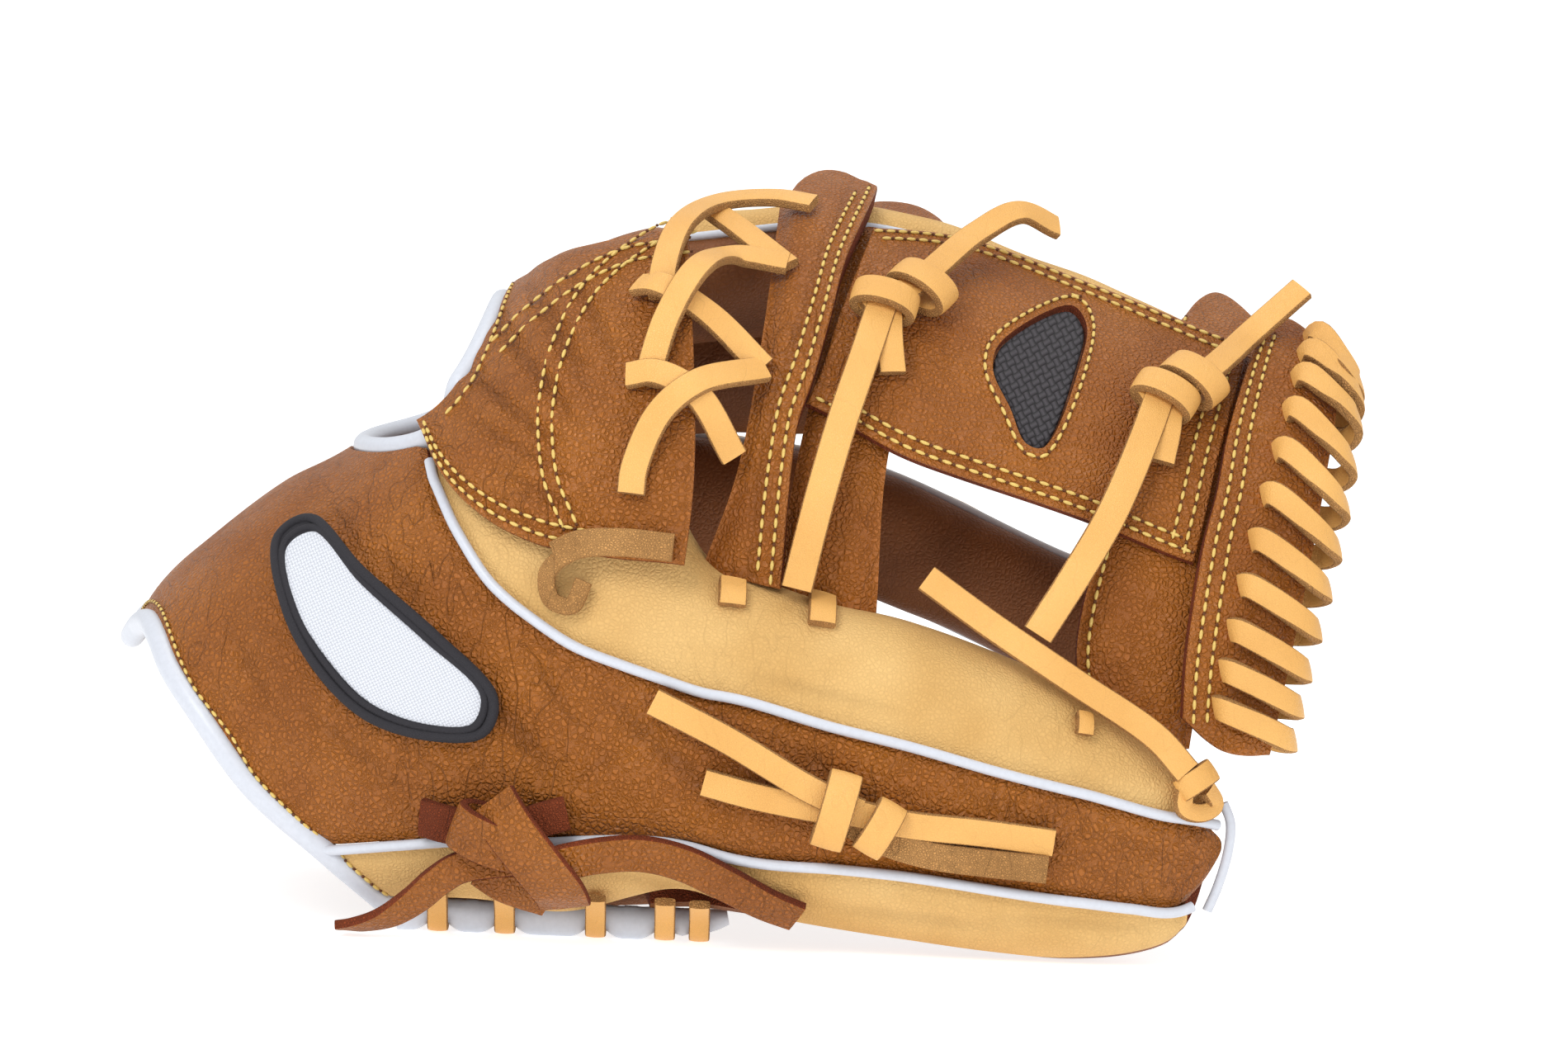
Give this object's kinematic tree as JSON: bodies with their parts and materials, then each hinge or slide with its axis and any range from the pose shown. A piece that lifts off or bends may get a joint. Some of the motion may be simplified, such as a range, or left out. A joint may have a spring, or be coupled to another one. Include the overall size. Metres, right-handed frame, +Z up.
{
  "type": "baseball infield glove",
  "caption": "Baseball infield glove for the left hand, standing on its heel and lower edge, with a panel web, rawhide lacing and an open back.",
  "frame": {"origin": "centre of the glove's box, on the floor", "axes": "+X from the wrist to the fingertips, -Y is the thumb side, +Z up"},
  "size_m": [0.2914, 0.1682, 0.1774],
  "materials": {
    "brown": "pebbled, soft sheen",
    "palm": "smooth, dull",
    "tan": "matte nubuck",
    "lace": "smooth, satin",
    "white": "smooth, satin",
    "patch": "matte weave",
    "badge": "matte weave"
  },
  "bodies": {
    "root": {"back_panel": "brown", "thumb_band_lower": "tan", "thumb_band_upper": "tan", "crotch_panel": "brown", "hand_back": "brown", "palm": "palm", "index_stall": "tan", "middle_stall": "tan", "ring_stall": "tan", "pinky_stall": "tan", "welt_upper": "white", "welt_lower": "white", "wrist_binding": "white", "back_opening_binding": "white", "web_base_post": "brown", "web_base_strip": "brown", "web_tip_strip": "brown", "web_cross_panel": "brown", "web_patch": "patch", "wrist_patch": "badge", "web_tip_post": "brown", "web_tip_lacing": "lace", "crotch_lacing": "lace", "web_foot_lace_1": "lace", "web_foot_lace_2": "lace", "web_foot_lace_3": "lace", "web_knot_left": "lace", "web_knot_right": "lace", "web_corner_lace": "lace", "thumb_top_lace": "lace", "thumb_lace": "lace", "wrist_tie": "brown", "heel_binding": "white", "heel_lace_1": "lace", "heel_lace_2": "lace", "heel_lace_3": "lace", "heel_lace_4": "lace", "heel_lace_5": "lace", "welt_tip": "white"}
  },
  "joints": []
}
